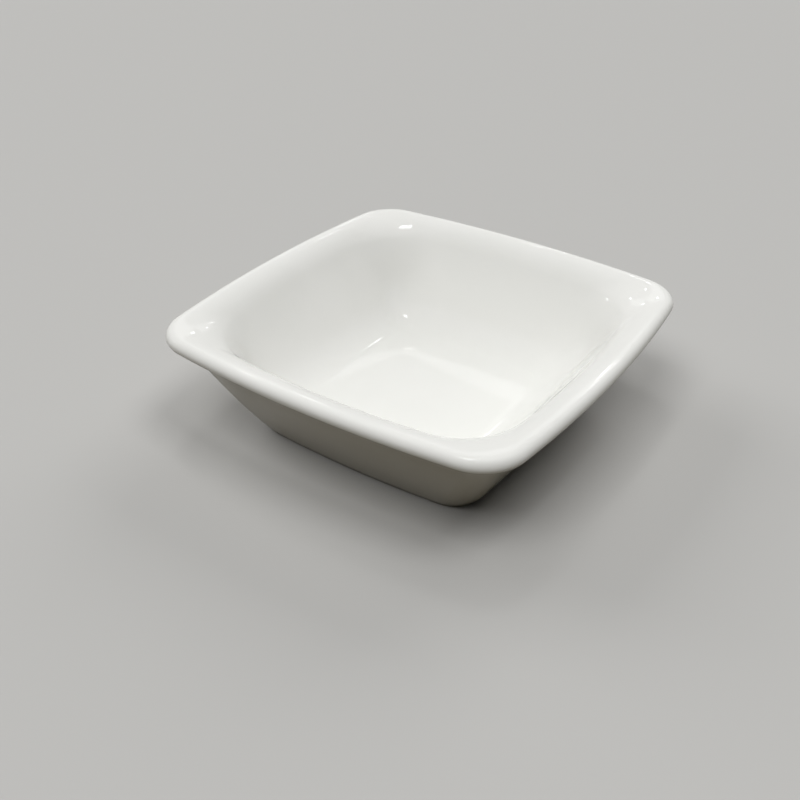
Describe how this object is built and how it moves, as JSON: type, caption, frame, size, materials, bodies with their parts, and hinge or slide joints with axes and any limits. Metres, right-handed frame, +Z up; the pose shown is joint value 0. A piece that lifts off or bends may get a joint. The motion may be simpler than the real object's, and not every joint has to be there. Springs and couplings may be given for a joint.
{
  "type": "soy sauce dish",
  "caption": "Small square sauce dish in white glazed porcelain: thick rounded lip over sloping, slightly bowed walls, a flat-bottomed well and a bare foot ring to stand on.",
  "frame": {"origin": "middle of the foot, on the plane that the dish stands on", "axes": "+Z up out of the well; X and Y each run through the middle of two opposite sides"},
  "size_m": [0.09, 0.09, 0.0265],
  "materials": {
    "white_glaze": "glossy fired glaze",
    "bare_porcelain": "unglazed, fine grained, matt"
  },
  "bodies": {
    "root": {"porcelain_body": "bare_porcelain", "glaze_coat": "white_glaze", "base_glaze": "white_glaze"}
  },
  "joints": []
}
